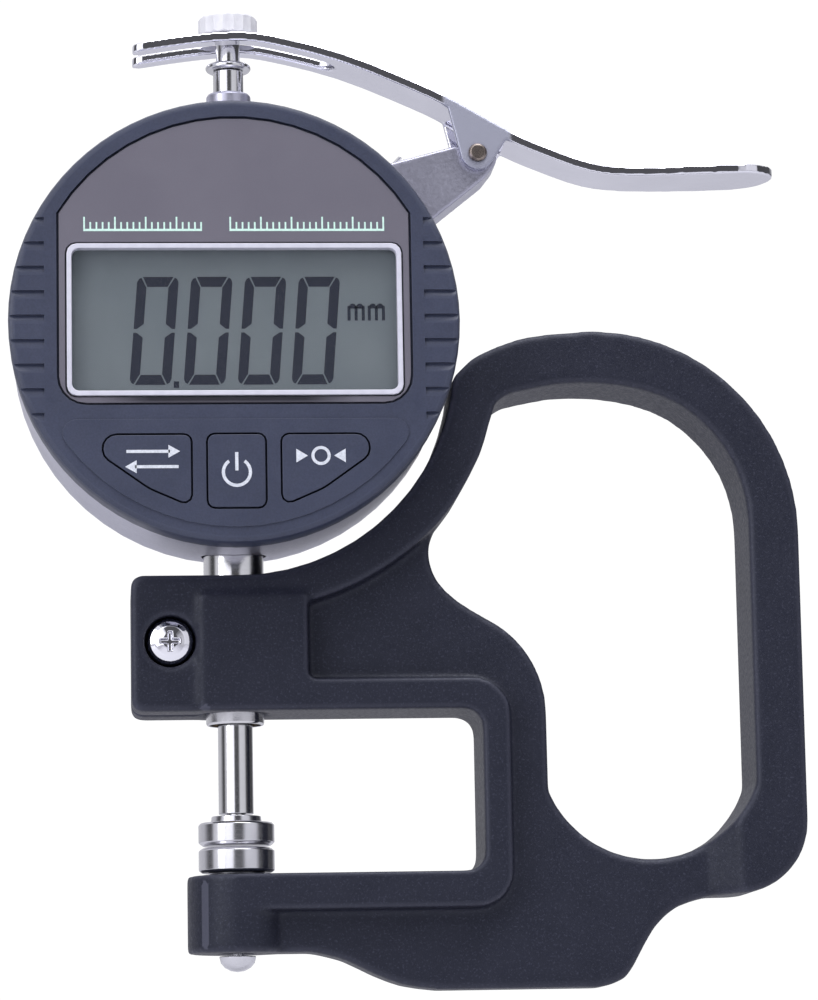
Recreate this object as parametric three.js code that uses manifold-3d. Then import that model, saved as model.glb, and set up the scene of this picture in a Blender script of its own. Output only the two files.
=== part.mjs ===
// Hand-held digital thickness gauge: a cast C-frame with a finger loop carries a digital plunger
// indicator above a fixed anvil, and a pressed-steel lever lifts the plunger.
//
// Millimetres, +Z up along the plunger, the display faces -Y and the finger loop is on the +X side.
// The pieces are drawn about the plunger's axis (x = 0, y = 0) with z = 0 just above the underside
// of the foot. The whole object is then moved so that its origin is the middle of its underside.

import * as THREE from 'three';
import { mergeVertices } from 'three/addons/utils/BufferGeometryUtils.js';
import Module from 'manifold-3d';

const wasm = await Module();
wasm.setup();

// ---------------------------------------------------------------- driving dimensions

const GAP = 0.3; // clearance between neighbouring pieces
const FACET = 0.05; // how far a facet may stray from its true arc

// Frame casting
const WEB_HALF = 4; // half thickness of the recessed web
const BAND_HALF = 6.7; // half thickness of the finger loop, the arc band and the clamp end
const RIM_HALF = 7.3; // half thickness of the rim round the throat and of the stem boss
const CLAMP_LEFT = -13.7; // left end of the split clamp
const ARM_TOP = 54.1; // top of the upper arm
const ARM_BOTTOM = 36.15; // underside of the upper arm, the top of the throat
const THROAT_RIGHT = 32.2; // back wall of the throat
const LOWER_ARM_TOP = 14.95; // top of the lower arm, the floor of the throat
const LOWER_ARM_BOTTOM = 4.8;
const FOOT_Z = -0.3; // underside of the foot
const RIM_TOP = 40.3; // where the throat's rim steps down to the web
const RIM_RIGHT = 35.9;
const RIM_BOTTOM = 10.2;
const BOSS_LEFT = -4.7; // the flat boss round the stem
const BOSS_RIGHT = 9.5;
const BOSS_TOP = 51.5;
const ANVIL_BOSS_R = 6.55;
const LOOP_RIGHT = 75; // outermost wall of the finger loop
const LOOP_TOP = 86.6;
const LOOP_TOP_R = 27.1; // upper corner of the loop
const LOOP_FOOT_R = 9.5; // lower corner of the loop
const LOOP_FOOT_Z = 11.5;
const HOLE_LEFT = 41; // finger hole, left wall beside the throat
const HOLE_RIGHT = 68.3;

// Dial: the display head and the case share one centre
const DIAL_Z = 86.2;
const BEZEL_R = 29.4;
const BEZEL_FRONT = -16.95;
const KEYPAD_FRONT = -17.15; // the raised half moon round the keys
const KEY_FRONT = -17.2;
const BEZEL_BACK = -12.6;
const BEZEL_WALL = 1.65;
const CASE_R = 29.2;
const CASE_FRONT = -12.3;
const CASE_BACK = 4.7;
const CASE_WALL = 2;
const FRONT_WALL = 1.7; // the case's front wall, which the display head turns on
const COVER_R = 28.9;
const COVER_BACK = 7.5;
const HUB_R = 8.6; // hollow hub of the display head
const BAND_OUTER_R = 37; // outer edge of the frame's arc band, about the dial's centre

// Plunger line
const SPINDLE_R = 2.3;
const STEM_R = 4;
const STEM_BOTTOM = 34.8;
const STEM_FLANGE_Z = 59.9;
const DISC_R = 5; // measuring faces
const ANVIL_FACE_Z = 18.6;
const CONTACT_FACE_Z = 18.9;
const NECK_R = 1.6; // under the lifting knob
const COLLAR_Z = 123.7;
const KNOB_R = 4;
const KNOB_BOTTOM = 128.5;
const KNOB_TOP = 131.4;

// Lifting lever and its bracket
const PIVOT_X = 33.3;
const PIVOT_Z = 111.4;
const PIN_R = 0.7;
const STRIP = 1.2; // thickness of the lever's steel strip
const LEVER_HALF = 4.7; // half width of the lever
const LEVER_TIP = 74; // end of the thumb paddle
const FORK_TIP = -13;
const FORK_HALF = 2; // half width of the fork's slot
const PRONG_R = (LEVER_HALF - FORK_HALF) / 2; // round ends of the fork's prongs
const EAR_INNER = 3.7; // inner face of the lever's bent ears
const BRACKET_HALF = 3.4;
const BRACKET_SCREW_ANGLES = [35.5, 46.5];

// Window, label panel and keys, about the dial's centre
const PANEL_R = 26.8;
const PANEL_HALF = 22.8;
const PANEL_BOTTOM = -11;
const WINDOW_W = 43.6;
const WINDOW_H = 20.1;
const TRIM = 0.65;
const KEYPAD_TOP = -13.2;
const KEYPAD_R = 27.3;
const KEY_GAP = 0.25;
const RIB_PITCH = 3.23;
const RIB_SIDE = 4; // finger scoops above and below the middle one, on each side

// Battery, about the dial's centre
const CELL_X = 17.5;
const CELL_Z = -7.2;
const CELL_R = 5.8;

const COVER_SCREW_ANGLES = [62, 118, 242, 298];
const COVER_SCREW_R = 24.2;
const GUIDE_X = 8; // guide rod beside the plunger
const GUIDE_R = 1;
const GUIDE_END = 23.9; // its ends, above and below the dial's centre

// ---------------------------------------------------------------- materials

function finish(color, roughness, metalness) {
  return new THREE.MeshStandardMaterial({ color, roughness, metalness });
}

const powderCoat = finish(0x2f303b, 0.72, 0.1);
const navyPlastic = finish(0x4d5265, 0.5, 0);
const panelPlastic = finish(0x7d7a81, 0.4, 0);
const whitePlastic = finish(0xe8e8f0, 0.35, 0);
const clearPlastic = finish(0xc9d2d0, 0.08, 0);
const liquidCrystal = finish(0x8b9a98, 0.3, 0);
const caseMetal = finish(0xb9bccb, 0.35, 0.8);
const polishedSteel = finish(0xc8c8cc, 0.18, 1);
const chrome = finish(0xd8d8e0, 0.06, 1);
const brass = finish(0xb08d4a, 0.35, 1);
const circuitBoard = finish(0x1f5a3a, 0.5, 0);
const blackPlastic = finish(0x1c1d20, 0.6, 0);
const rubber = finish(0x3a3d4a, 0.8, 0);
const scaleGlass = finish(0xa0a8a0, 0.1, 0);

// ---------------------------------------------------------------- outlines

function at(x, z) {
  return new THREE.Vector2(x, z);
}

/** Points along a circular arc, angles in degrees, with only as many as FACET needs. */
function arc(cx, cz, radius, from, to) {
  const widest = THREE.MathUtils.radToDeg(2 * Math.acos(1 - FACET / radius));
  const steps = Math.max(2, Math.ceil(Math.abs(to - from) / widest));
  const points = [];
  for (let i = 0; i <= steps; i++) {
    const angle = THREE.MathUtils.degToRad(from + ((to - from) * i) / steps);
    points.push(at(cx + radius * Math.cos(angle), cz + radius * Math.sin(angle)));
  }
  return points;
}

function bend(start, pull, lead, end, steps = 6) {
  return new THREE.CubicBezierCurve(start, pull, lead, end).getPoints(steps);
}

/** A smooth line through points [x, z], with a few chords for each stretch. */
function flowing(through, chords = 2) {
  return new THREE.SplineCurve(through.map(([x, z]) => at(x, z))).getPoints(chords * (through.length - 1));
}

/** A polygon whose corners [x, z, radius] are rounded. */
function rounded(corners) {
  const points = [];
  corners.forEach(([x, z, radius], i) => {
    const corner = at(x, z);
    if (!radius) {
      points.push(corner);
      return;
    }
    const before = corners[(i + corners.length - 1) % corners.length];
    const after = corners[(i + 1) % corners.length];
    const back = at(before[0], before[1]).sub(corner).normalize();
    const ahead = at(after[0], after[1]).sub(corner).normalize();
    const half = Math.acos(THREE.MathUtils.clamp(back.dot(ahead), -1, 1)) / 2;
    const middle = back.clone().add(ahead).normalize().multiplyScalar(radius / Math.sin(half));
    const centre = corner.clone().add(middle);
    const first = back.multiplyScalar(radius / Math.tan(half)).add(corner).sub(centre).angle();
    const last = ahead.multiplyScalar(radius / Math.tan(half)).add(corner).sub(centre).angle();
    const turn = THREE.MathUtils.euclideanModulo(last - first + Math.PI, 2 * Math.PI) - Math.PI;
    const degrees = THREE.MathUtils.radToDeg(first);
    points.push(...arc(centre.x, centre.y, radius, degrees, degrees + THREE.MathUtils.radToDeg(turn)));
  });
  return points;
}

function ellipse(rx, ry, steps) {
  return Array.from({ length: steps }, (_, i) => {
    const angle = (2 * Math.PI * i) / steps;
    return at(rx * Math.cos(angle), ry * Math.sin(angle));
  });
}

function rectangle(width, height, radius, cx = 0, cz = 0) {
  const w = width / 2;
  const h = height / 2;
  return rounded([
    [cx - w, cz - h, radius], [cx + w, cz - h, radius], [cx + w, cz + h, radius], [cx - w, cz + h, radius],
  ]);
}

/** The same outline moved outwards by a distance. */
function grown(points, distance) {
  const sign = THREE.ShapeUtils.area(points) > 0 ? 1 : -1;
  return points.map((point, i) => {
    const before = points[(i + points.length - 1) % points.length];
    const after = points[(i + 1) % points.length];
    const along = after.clone().sub(before).normalize().multiplyScalar(sign * distance);
    return at(point.x + along.y, point.y - along.x);
  });
}

// ---------------------------------------------------------------- solids

/** Signed volume of an indexed triangle list; negative when its faces point inwards. */
function signedVolume(position, index) {
  let volume = 0;
  const [a, b, c] = [new THREE.Vector3(), new THREE.Vector3(), new THREE.Vector3()];
  for (let i = 0; i < index.length; i += 3) {
    a.fromArray(position, 3 * index[i]);
    b.fromArray(position, 3 * index[i + 1]);
    c.fromArray(position, 3 * index[i + 2]);
    volume += a.dot(b.cross(c)) / 6;
  }
  return volume;
}

/** A solid from a closed three.js geometry, without the collapsed triangles at its poles. */
function solid(geometry) {
  const bare = geometry.clone();
  bare.deleteAttribute('normal');
  bare.deleteAttribute('uv');
  const merged = mergeVertices(bare, 1e-4);
  const position = merged.getAttribute('position').array;
  const index = [];
  for (let i = 0; i < merged.index.count; i += 3) {
    const [a, b, c] = [0, 1, 2].map((k) => merged.index.getX(i + k));
    if (a !== b && b !== c && c !== a) index.push(a, b, c);
  }
  if (signedVolume(position, index) < 0) index.reverse();
  return new wasm.Manifold(new wasm.Mesh({
    numProp: 3,
    vertProperties: new Float32Array(position),
    triVerts: new Uint32Array(index),
  }));
}

function extruded(points, depth, holes = []) {
  const shape = new THREE.Shape(points);
  shape.holes = holes.map((hole) => new THREE.Path(hole));
  return new THREE.ExtrudeGeometry(shape, { depth, bevelEnabled: false });
}

/** An outline in x and z, extruded from yLow to yHigh. */
function slabY(points, yLow, yHigh, holes = []) {
  return solid(extruded(points, yHigh - yLow, holes).rotateX(Math.PI / 2).translate(0, yHigh, 0));
}

/** An outline in x and y, extruded from zLow to zHigh. */
function prismZ(points, zLow, zHigh) {
  return solid(extruded(points, zHigh - zLow).translate(0, 0, zLow));
}

/** An outline in y and z, extruded from xLow to xHigh. */
function prismX(points, xLow, xHigh) {
  const along = extruded(points, xHigh - xLow).rotateX(Math.PI / 2).rotateZ(Math.PI / 2);
  return solid(along.translate(xLow, 0, 0));
}

/** A profile [radius, y] turned about a line along Y through (x, z). */
function turnedY(profile, segments, x = 0, z = 0) {
  const points = profile.map(([r, y]) => at(r, y));
  return solid(new THREE.LatheGeometry(points, segments).translate(x, 0, z));
}

/** A profile [radius, z] turned about a line along Z through (x, y). */
function turnedZ(profile, segments, x = 0, y = 0) {
  const points = profile.map(([r, z]) => at(r, z));
  return solid(new THREE.LatheGeometry(points, segments).rotateX(Math.PI / 2).translate(x, y, 0));
}

function rodY(radius, yLow, yHigh, x = 0, z = 0, segments = 24) {
  return turnedY([[0, yLow], [radius, yLow], [radius, yHigh], [0, yHigh]], segments, x, z);
}

function rodZ(radius, zLow, zHigh, x = 0, y = 0, segments = 24) {
  return turnedZ([[0, zLow], [radius, zLow], [radius, zHigh], [0, zHigh]], segments, x, y);
}

function tubeY(inner, outer, yLow, yHigh, segments = 48, x = 0, z = 0) {
  const wall = [[inner, yLow], [outer, yLow], [outer, yHigh], [inner, yHigh], [inner, yLow]];
  return turnedY(wall, segments, x, z);
}

function tubeZ(inner, outer, zLow, zHigh, segments = 32) {
  const wall = [[inner, zLow], [outer, zLow], [outer, zHigh], [inner, zHigh], [inner, zLow]];
  return turnedZ(wall, segments);
}

function block([xLow, xHigh], [yLow, yHigh], [zLow, zHigh]) {
  const box = new THREE.BoxGeometry(xHigh - xLow, yHigh - yLow, zHigh - zLow);
  return solid(box.translate((xLow + xHigh) / 2, (yLow + yHigh) / 2, (zLow + zHigh) / 2));
}

function joined(...parts) {
  return parts.reduce((sum, part) => sum.add(part));
}

function cut(body, ...tools) {
  return tools.reduce((rest, tool) => rest.subtract(tool), body);
}

/** A named mesh from a solid. */
function piece(name, body, material) {
  const { vertProperties, triVerts } = body.getMesh();
  const geometry = new THREE.BufferGeometry();
  geometry.setAttribute('position', new THREE.BufferAttribute(vertProperties, 3));
  geometry.setIndex(new THREE.BufferAttribute(triVerts, 1));
  geometry.computeVertexNormals();
  const mesh = new THREE.Mesh(geometry, material);
  mesh.name = name;
  return mesh;
}

// ---------------------------------------------------------------- frame

/** Outer outline of the frame, anticlockwise from the left end of its foot. */
function frameOutline() {
  const corner = 1.3;
  const throatCorner = 2.3;
  const footRight = flowing([
    [47.5, FOOT_Z], [50.6, 0.8], [52.6, 3.9], [54.7, 7.4], [57.7, 10], [62, 11.35],
  ]);
  const topLeft = flowing([
    [LOOP_RIGHT - LOOP_TOP_R, LOOP_TOP], [43.7, 86.3], [38.3, 85.6], [32.9, 83.5], [31, 82.1], [29.3, 80.4],
  ]);
  const footLeft = flowing([[9.5, LOWER_ARM_BOTTOM], [13.6, 3.8], [17.5, 1.9], [21.5, 0.35], [26, FOOT_Z]]);
  return [
    ...footRight,
    ...arc(LOOP_RIGHT - LOOP_FOOT_R, LOOP_FOOT_Z + LOOP_FOOT_R, LOOP_FOOT_R, -90, 0),
    ...arc(LOOP_RIGHT - LOOP_TOP_R, LOOP_TOP - LOOP_TOP_R, LOOP_TOP_R, 0, 90),
    ...topLeft.slice(1),
    ...arc(0.4, 83.1, 29, -5.4, -90).slice(1),
    ...rounded([[30, ARM_TOP, 0], [CLAMP_LEFT, ARM_TOP, corner], [CLAMP_LEFT, ARM_BOTTOM, corner],
      [THROAT_RIGHT, ARM_BOTTOM, throatCorner], [THROAT_RIGHT, LOWER_ARM_TOP, throatCorner],
      [0, LOWER_ARM_TOP, 0]]).slice(1),
    at(0, LOWER_ARM_BOTTOM),
    ...footLeft,
  ];
}

/** The finger hole, anticlockwise from the foot of its left wall. */
function fingerHole() {
  const footR = 14.6;
  const backR = 14; // where the hole sweeps round the back of the throat
  return [
    ...arc(54.6, 30.9, footR, 202, 340),
    ...flowing([
      [HOLE_RIGHT, 60], [68, 63.9], [66.6, 68.6], [63.8, 72.9], [59.7, 76.5], [54.6, 78.6], [48.9, 79.5],
      [42.9, 79.4], [36.6, 78.1],
    ]),
    ...flowing([
      [34.9, 77], [33.9, 74], [32.6, 69.9], [29.4, 64], [27.1, 61], [25.9, 58.4], [25.9, 56], [26.9, 53.4],
      [29.3, 50.9], [32.9, 48.6],
    ]),
    ...arc(HOLE_LEFT - backR, 35.9, backR, 63, 0),
  ];
}

/** Everywhere that the loop stands thicker than the web, with the ramp at the loop's foot. */
function loopMask() {
  const rampFoot = 62;
  const rampTop = 66;
  const side = prismZ([
    at(rampFoot, -WEB_HALF), at(rampTop, -BAND_HALF), at(80, -BAND_HALF),
    at(80, BAND_HALF), at(rampTop, BAND_HALF), at(rampFoot, WEB_HALF),
  ], 5, 60);
  const above = [at(29, 76), at(34.6, 76), at(50, 58), at(80, 58), at(80, 90), at(29, 90)];
  return side.add(slabY(above, -BAND_HALF, BAND_HALF));
}

function rimMask() {
  return rounded([
    [BOSS_LEFT, 30, 0], [0, 30, 0], [0, RIM_BOTTOM, 0], [RIM_RIGHT, RIM_BOTTOM, 4.8], [RIM_RIGHT, RIM_TOP, 5],
    [BOSS_RIGHT, RIM_TOP, 0.8], [BOSS_RIGHT, BOSS_TOP, 0.6], [BOSS_LEFT, BOSS_TOP, 0.6],
  ]);
}

const CLAMP_SCREW_X = -8.6;
const CLAMP_SCREW_Z = 45.4;
const CLAMP_SCREW_R = 2;
const CLAMP_HEAD_R = 3.1;
const CLAMP_SEAT_Y = -3.6;
const CLAMP_SLIT = 0.5; // half width of the slit that the clamp screw closes
const ANVIL_SHANK_R = 1.8;

function frame() {
  const blank = (half) => slabY(frameOutline(), -half, half, [fingerHole()]);
  const disc = rodY(BAND_OUTER_R, -BAND_HALF, BAND_HALF, 0, DIAL_Z, 96);
  const armHeight = [ARM_BOTTOM - 1, ARM_TOP + 1];
  const clampEnd = block([CLAMP_LEFT - 1, BOSS_RIGHT], [-BAND_HALF, BAND_HALF], armHeight);
  const bands = blank(BAND_HALF).intersect(joined(loopMask(), disc, clampEnd));
  const rim = blank(RIM_HALF).intersect(slabY(rimMask(), -RIM_HALF, RIM_HALF));
  const anvilBoss = prismZ(ellipse(ANVIL_BOSS_R, RIM_HALF, 48), LOWER_ARM_BOTTOM, LOWER_ARM_TOP);
  return cut(
    joined(blank(WEB_HALF), bands, rim, anvilBoss),
    rodZ(STEM_R + GAP, ARM_BOTTOM - 1, ARM_TOP + 3, 0, 0, 32),
    block([CLAMP_LEFT - 1, 0], [-CLAMP_SLIT, CLAMP_SLIT], armHeight),
    rodY(CLAMP_HEAD_R + GAP, -BAND_HALF - 1, CLAMP_SEAT_Y, CLAMP_SCREW_X, CLAMP_SCREW_Z, 32),
    rodY(CLAMP_SCREW_R + GAP, CLAMP_SEAT_Y - 1, 5.3, CLAMP_SCREW_X, CLAMP_SCREW_Z),
    rodZ(ANVIL_SHANK_R + GAP, 0, LOWER_ARM_TOP + 1, 0, 0, 20),
  );
}

/** Domed head with a cross recess, clamping the split end of the upper arm on the stem. */
function clampScrew() {
  const seat = CLAMP_SEAT_Y - 0.1;
  const crown = -6.7;
  const body = turnedY([
    [0, crown], [1, crown + 0.06], [2, crown + 0.26], [2.65, crown + 0.6], [CLAMP_HEAD_R - 0.1, crown + 1.1],
    [CLAMP_HEAD_R, crown + 1.6], [CLAMP_HEAD_R, seat], [CLAMP_SCREW_R, seat], [CLAMP_SCREW_R, 5], [0, 5],
  ], 28, CLAMP_SCREW_X, CLAMP_SCREW_Z);
  const slot = (w, h) => block(
    [CLAMP_SCREW_X - w, CLAMP_SCREW_X + w], [crown - 1, crown + 1.2], [CLAMP_SCREW_Z - h, CLAMP_SCREW_Z + h]);
  return cut(body, slot(1.3, 0.3), slot(0.3, 1.3));
}

function anvil() {
  return cut(
    turnedZ([
      [0, 8], [ANVIL_SHANK_R, 8], [ANVIL_SHANK_R, 15.1], [3.7, 15.1], [3.7, 15.4], [DISC_R - 0.4, 15.4],
      [DISC_R, 15.7], [DISC_R, ANVIL_FACE_Z - 0.35], [DISC_R - 0.4, ANVIL_FACE_Z], [0, ANVIL_FACE_Z],
    ], 28),
    rodZ(1.2, 7, 12, 0, 0, 16),
  );
}

/** Dome-headed screw that draws the anvil down into its boss. */
function anvilScrew() {
  const top = LOWER_ARM_BOTTOM - GAP;
  const dome = [0, 22.5, 45, 67.5, 90].map((angle) => {
    const a = THREE.MathUtils.degToRad(angle);
    return [2.4 * Math.sin(a), top - 0.15 - 1.9 * Math.cos(a)];
  });
  return turnedZ([...dome, [2.4, top], [0.9, top], [0.9, 11], [0, 11]], 24);
}

// ---------------------------------------------------------------- stem and case

const STEM_BORE_R = 3.45; // the contact's step runs up into it at full lift

function stem() {
  return turnedZ([
    [STEM_BORE_R, STEM_BOTTOM], [STEM_R - 0.3, STEM_BOTTOM], [STEM_R - 0.15, STEM_BOTTOM + 0.3],
    [STEM_R - 0.15, ARM_BOTTOM + 0.3], [STEM_R, ARM_BOTTOM + 0.6], [STEM_R, STEM_FLANGE_Z],
    [4.6, STEM_FLANGE_Z], [4.6, STEM_FLANGE_Z + 1.3], [STEM_BORE_R, STEM_FLANGE_Z + 1.3],
    [STEM_BORE_R, STEM_BOTTOM],
  ], 28);
}

function stemBush(zLow, zHigh) {
  return tubeZ(SPINDLE_R + 0.15, STEM_BORE_R - 0.2, zLow, zHigh, 20);
}

function onCircle(radius, angle) {
  const a = THREE.MathUtils.degToRad(angle);
  return [radius * Math.cos(a), radius * Math.sin(a)];
}

/** A rod of length along the dial's radius at an angle, in the plane of the plunger. */
function rodRadial(radius, from, to, angle, segments = 16) {
  const geometry = new THREE.CylinderGeometry(radius, radius, to - from, segments);
  geometry.rotateZ(-Math.PI / 2).translate((from + to) / 2, 0, 0);
  return solid(geometry.rotateY(-THREE.MathUtils.degToRad(angle)));
}

const GUIDE_SOCKET_DEPTH = 4.5;
const BOARD_POSTS = [[-12.5, 12], [-12.5, -4]];

/** Cup with its open side to the back: front wall with the hub hole, side wall, posts and sockets. */
function caseShell() {
  const inside = CASE_R - CASE_WALL;
  const wallBack = CASE_FRONT + FRONT_WALL;
  const cup = turnedY([
    [HUB_R + GAP, CASE_FRONT], [CASE_R - 0.5, CASE_FRONT], [CASE_R, CASE_FRONT + 0.5], [CASE_R, CASE_BACK],
    [inside, CASE_BACK], [inside, wallBack], [HUB_R + GAP, wallBack], [HUB_R + GAP, CASE_FRONT],
  ], 60);
  const posts = COVER_SCREW_ANGLES.map((angle) => {
    const [x, z] = onCircle(COVER_SCREW_R, angle);
    return rodY(2.4, wallBack - 0.5, CASE_BACK - 0.3, x, z, 10);
  });
  const boardPosts = BOARD_POSTS.map(([x, z]) => rodY(1.8, wallBack - 0.5, -8.5, x, z, 10));
  const socketReach = Math.sqrt(inside * inside - (GUIDE_X + 2) ** 2) + 0.3;
  const sockets = [-1, 1].map((side) => {
    const ends = [side * (socketReach - GUIDE_SOCKET_DEPTH), side * socketReach].sort((a, b) => a - b);
    return block([GUIDE_X - 1.8, GUIDE_X + 1.8], [-2.4, 2.4], ends);
  });
  const screwHoles = COVER_SCREW_ANGLES.map((angle) => {
    const [x, z] = onCircle(COVER_SCREW_R, angle);
    return rodY(1.3, -6, CASE_BACK + 1, x, z, 8);
  });
  return cut(
    joined(cup, ...posts, ...boardPosts, ...sockets),
    ...screwHoles,
    rodZ(STEM_R + GAP, -CASE_R - 1, -20, 0, 0, 32),
    rodZ(3.3, 20, CASE_R + 1, 0, 0, 28),
    rodZ(GUIDE_R + GAP, -GUIDE_END - GAP, GUIDE_END + GAP, GUIDE_X, 0, 12),
    ...BRACKET_SCREW_ANGLES.map((angle) => rodRadial(1.4, 24, CASE_R + 2, angle)),
  );
}

function guideRod() {
  return rodZ(GUIDE_R, -GUIDE_END, GUIDE_END, GUIDE_X, 0, 14);
}

/** Guide bush of the plunger's upper end, flanged inside the case. */
function topBush() {
  const flange = 111.3 - DIAL_Z;
  return turnedZ([
    [SPINDLE_R + GAP, flange], [4.4, flange], [4.4, flange + 1.3], [3, flange + 1.3],
    [3, 33.9], [2.8, 34.2], [SPINDLE_R + GAP, 34.2], [SPINDLE_R + GAP, flange],
  ], 24);
}

function backCover() {
  const front = CASE_BACK + GAP;
  const disc = turnedY([
    [0, front], [COVER_R, front], [COVER_R, COVER_BACK - 0.8], [COVER_R - 0.8, COVER_BACK], [0, COVER_BACK],
  ], 60);
  const holes = COVER_SCREW_ANGLES.flatMap((angle) => {
    const [x, z] = onCircle(COVER_SCREW_R, angle);
    const behind = COVER_BACK + 1;
    return [rodY(1.3, front - 1, behind, x, z, 8), rodY(2.2, COVER_BACK - 1.3, behind, x, z, 16)];
  });
  return cut(disc, ...holes, rodY(CELL_R + 1.1, front - 1, COVER_BACK + 1, CELL_X, CELL_Z, 36));
}

/** Cheese-head screw along Y with a cross recess, its head towards +Y. */
function coverScrew(angle) {
  const [x, z] = onCircle(COVER_SCREW_R, angle);
  const seat = COVER_BACK - 1.2;
  const body = turnedY([
    [0, -4], [1, -4], [1, seat], [1.9, seat], [1.9, COVER_BACK - 0.4],
    [1.6, COVER_BACK - 0.1], [0, COVER_BACK - 0.1],
  ], 16, x, z);
  const slot = (w, h) => block([x - w, x + w], [COVER_BACK - 0.7, COVER_BACK + 1], [z - h, z + h]);
  return cut(body, slot(1.1, 0.22), slot(0.22, 1.1));
}

// ---------------------------------------------------------------- battery

function batteryHolder() {
  const floor = -2.3;
  return turnedY([
    [0, floor], [CELL_R + 1.3, floor], [CELL_R + 1.3, CASE_BACK - 0.2], [CELL_R + 0.4, CASE_BACK - 0.2],
    [CELL_R + 0.4, floor + 0.8], [0, floor + 0.8],
  ], 24, CELL_X, CELL_Z);
}

/** Leaf contact under the cell. */
function batteryContact() {
  return slabY(rectangle(9, 3, 0.6, CELL_X, CELL_Z), -1.4, -1.15);
}

function battery() {
  return turnedY([
    [0, -0.9], [4.6, -0.9], [4.9, -0.5], [5.5, -0.4],
    [CELL_R, 0], [CELL_R, 4.2], [CELL_R - 0.3, 4.5], [0, 4.5],
  ], 24, CELL_X, CELL_Z);
}

/** Coin-slotted bayonet cap over the cell. */
function batteryCap() {
  const front = CASE_BACK + GAP + 0.1;
  const cap = turnedY([
    [0, front], [CELL_R + 0.8, front], [CELL_R + 0.8, 7], [CELL_R + 0.5, 7.3], [0, 7.3],
  ], 24, CELL_X, CELL_Z);
  return cut(cap, block([CELL_X - 4.5, CELL_X + 4.5], [6.4, 8], [CELL_Z - 0.8, CELL_Z + 0.8]));
}

// ---------------------------------------------------------------- plunger

function spindle() {
  const tip = 20.4;
  return turnedZ([
    [0, tip], [1.25, tip], [1.25, 23.1], [SPINDLE_R, 23.1], [SPINDLE_R, 118.6], [2.05, 119],
    [2.05, COLLAR_Z - 0.1], [NECK_R, COLLAR_Z - 0.1], [NECK_R, KNOB_BOTTOM - 0.1], [1.1, KNOB_BOTTOM - 0.1],
    [1.1, 130.3], [0, 130.3],
  ], 24);
}

function contactPoint() {
  const top = 22.8;
  return cut(
    turnedZ([
      [0, CONTACT_FACE_Z], [DISC_R - 0.55, CONTACT_FACE_Z], [DISC_R, CONTACT_FACE_Z + 0.45], [DISC_R, 21.65],
      [DISC_R - 0.3, 21.95], [3.35, 21.95], [3.25, top], [0, top],
    ], 28),
    rodZ(1.55, 20.1, top + 1, 0, 0, 16),
  );
}

function stopCollar() {
  return turnedZ([
    [NECK_R + GAP, COLLAR_Z], [2.8, COLLAR_Z], [3.05, COLLAR_Z + 0.25], [3.05, COLLAR_Z + 0.65],
    [2.8, COLLAR_Z + 0.9], [NECK_R + GAP, COLLAR_Z + 0.9], [NECK_R + GAP, COLLAR_Z],
  ], 20);
}

/** Fluted knob that the lever's fork lifts. */
function liftKnob() {
  const flutes = 18;
  const outline = Array.from({ length: 2 * flutes }, (_, i) => {
    const angle = (Math.PI * i) / flutes;
    const radius = i % 2 ? KNOB_R - 0.18 : KNOB_R;
    return at(radius * Math.cos(angle), radius * Math.sin(angle));
  });
  const envelope = turnedZ([
    [0, KNOB_BOTTOM], [KNOB_R - 0.2, KNOB_BOTTOM], [KNOB_R + 0.1, KNOB_BOTTOM + 0.3],
    [KNOB_R + 0.1, KNOB_TOP - 0.7], [KNOB_R - 0.7, KNOB_TOP], [0, KNOB_TOP],
  ], 36);
  return cut(
    prismZ(outline, KNOB_BOTTOM, KNOB_TOP).intersect(envelope),
    rodZ(1.4, KNOB_BOTTOM - 1, 130.6, 0, 0, 16),
  );
}

const CARRIAGE_Z = [72, 79];

/** Block on the plunger that carries the scale and rides on the guide rod. */
function scaleCarriage() {
  return cut(
    block([-9, GUIDE_X + 2.4], [-4.2, 4.2], CARRIAGE_Z),
    rodZ(SPINDLE_R + GAP, CARRIAGE_Z[0] - 1, CARRIAGE_Z[1] + 1, 0, 0, 20),
    block([GUIDE_X - 1.3, GUIDE_X + 4], [-1.3, 1.3], [CARRIAGE_Z[0] - 1, CARRIAGE_Z[1] + 1]),
  );
}

function scaleStrip() {
  return block([-8.5, -1.5], [-5.6, -4.5], [62.5, 95]);
}

/** Sensor board that reads the scale. */
function sensorBoard() {
  const board = block([-15, 6], [-8.2, -6.6], [80, 100]);
  const reader = block([-9.5, -0.5], [-6.7, -6], [84, 95]);
  return board.add(reader);
}

class Helix extends THREE.Curve {
  constructor(radius, zLow, zHigh, turns) {
    super();
    Object.assign(this, { radius, zLow, zHigh, turns });
  }

  getPoint(t, target = new THREE.Vector3()) {
    const angle = 2 * Math.PI * this.turns * t;
    return target.set(
      this.radius * Math.cos(angle), this.radius * Math.sin(angle), this.zLow + (this.zHigh - this.zLow) * t);
  }
}

/** Compression spring round the plunger, which gives the measuring force. */
function returnSpring() {
  const wire = 0.35;
  const turns = 8;
  const path = new Helix(3.5, CARRIAGE_Z[1] + 0.8, 110.4, turns);
  const section = new THREE.Shape(ellipse(wire, wire, 4));
  const sweep = { steps: 8 * turns, extrudePath: path, bevelEnabled: false };
  return solid(new THREE.ExtrudeGeometry(section, sweep));
}

// ---------------------------------------------------------------- lever and bracket

/** Underside of the lever's strip from the fork's tip to the end of the thumb paddle. */
function leverUnderside() {
  return flowing([
    [FORK_TIP, 125.2], [-6, 126.3], [0, 126.9], [5, 126.55], [15, 124], [25, 119.9], [30, 117.4],
    [37.2, 113.3], [42.4, 111], [48.4, 108.9], [54.3, 108.25], [64.3, 108.4], [LEVER_TIP, 108.8],
  ], 3);
}

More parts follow.
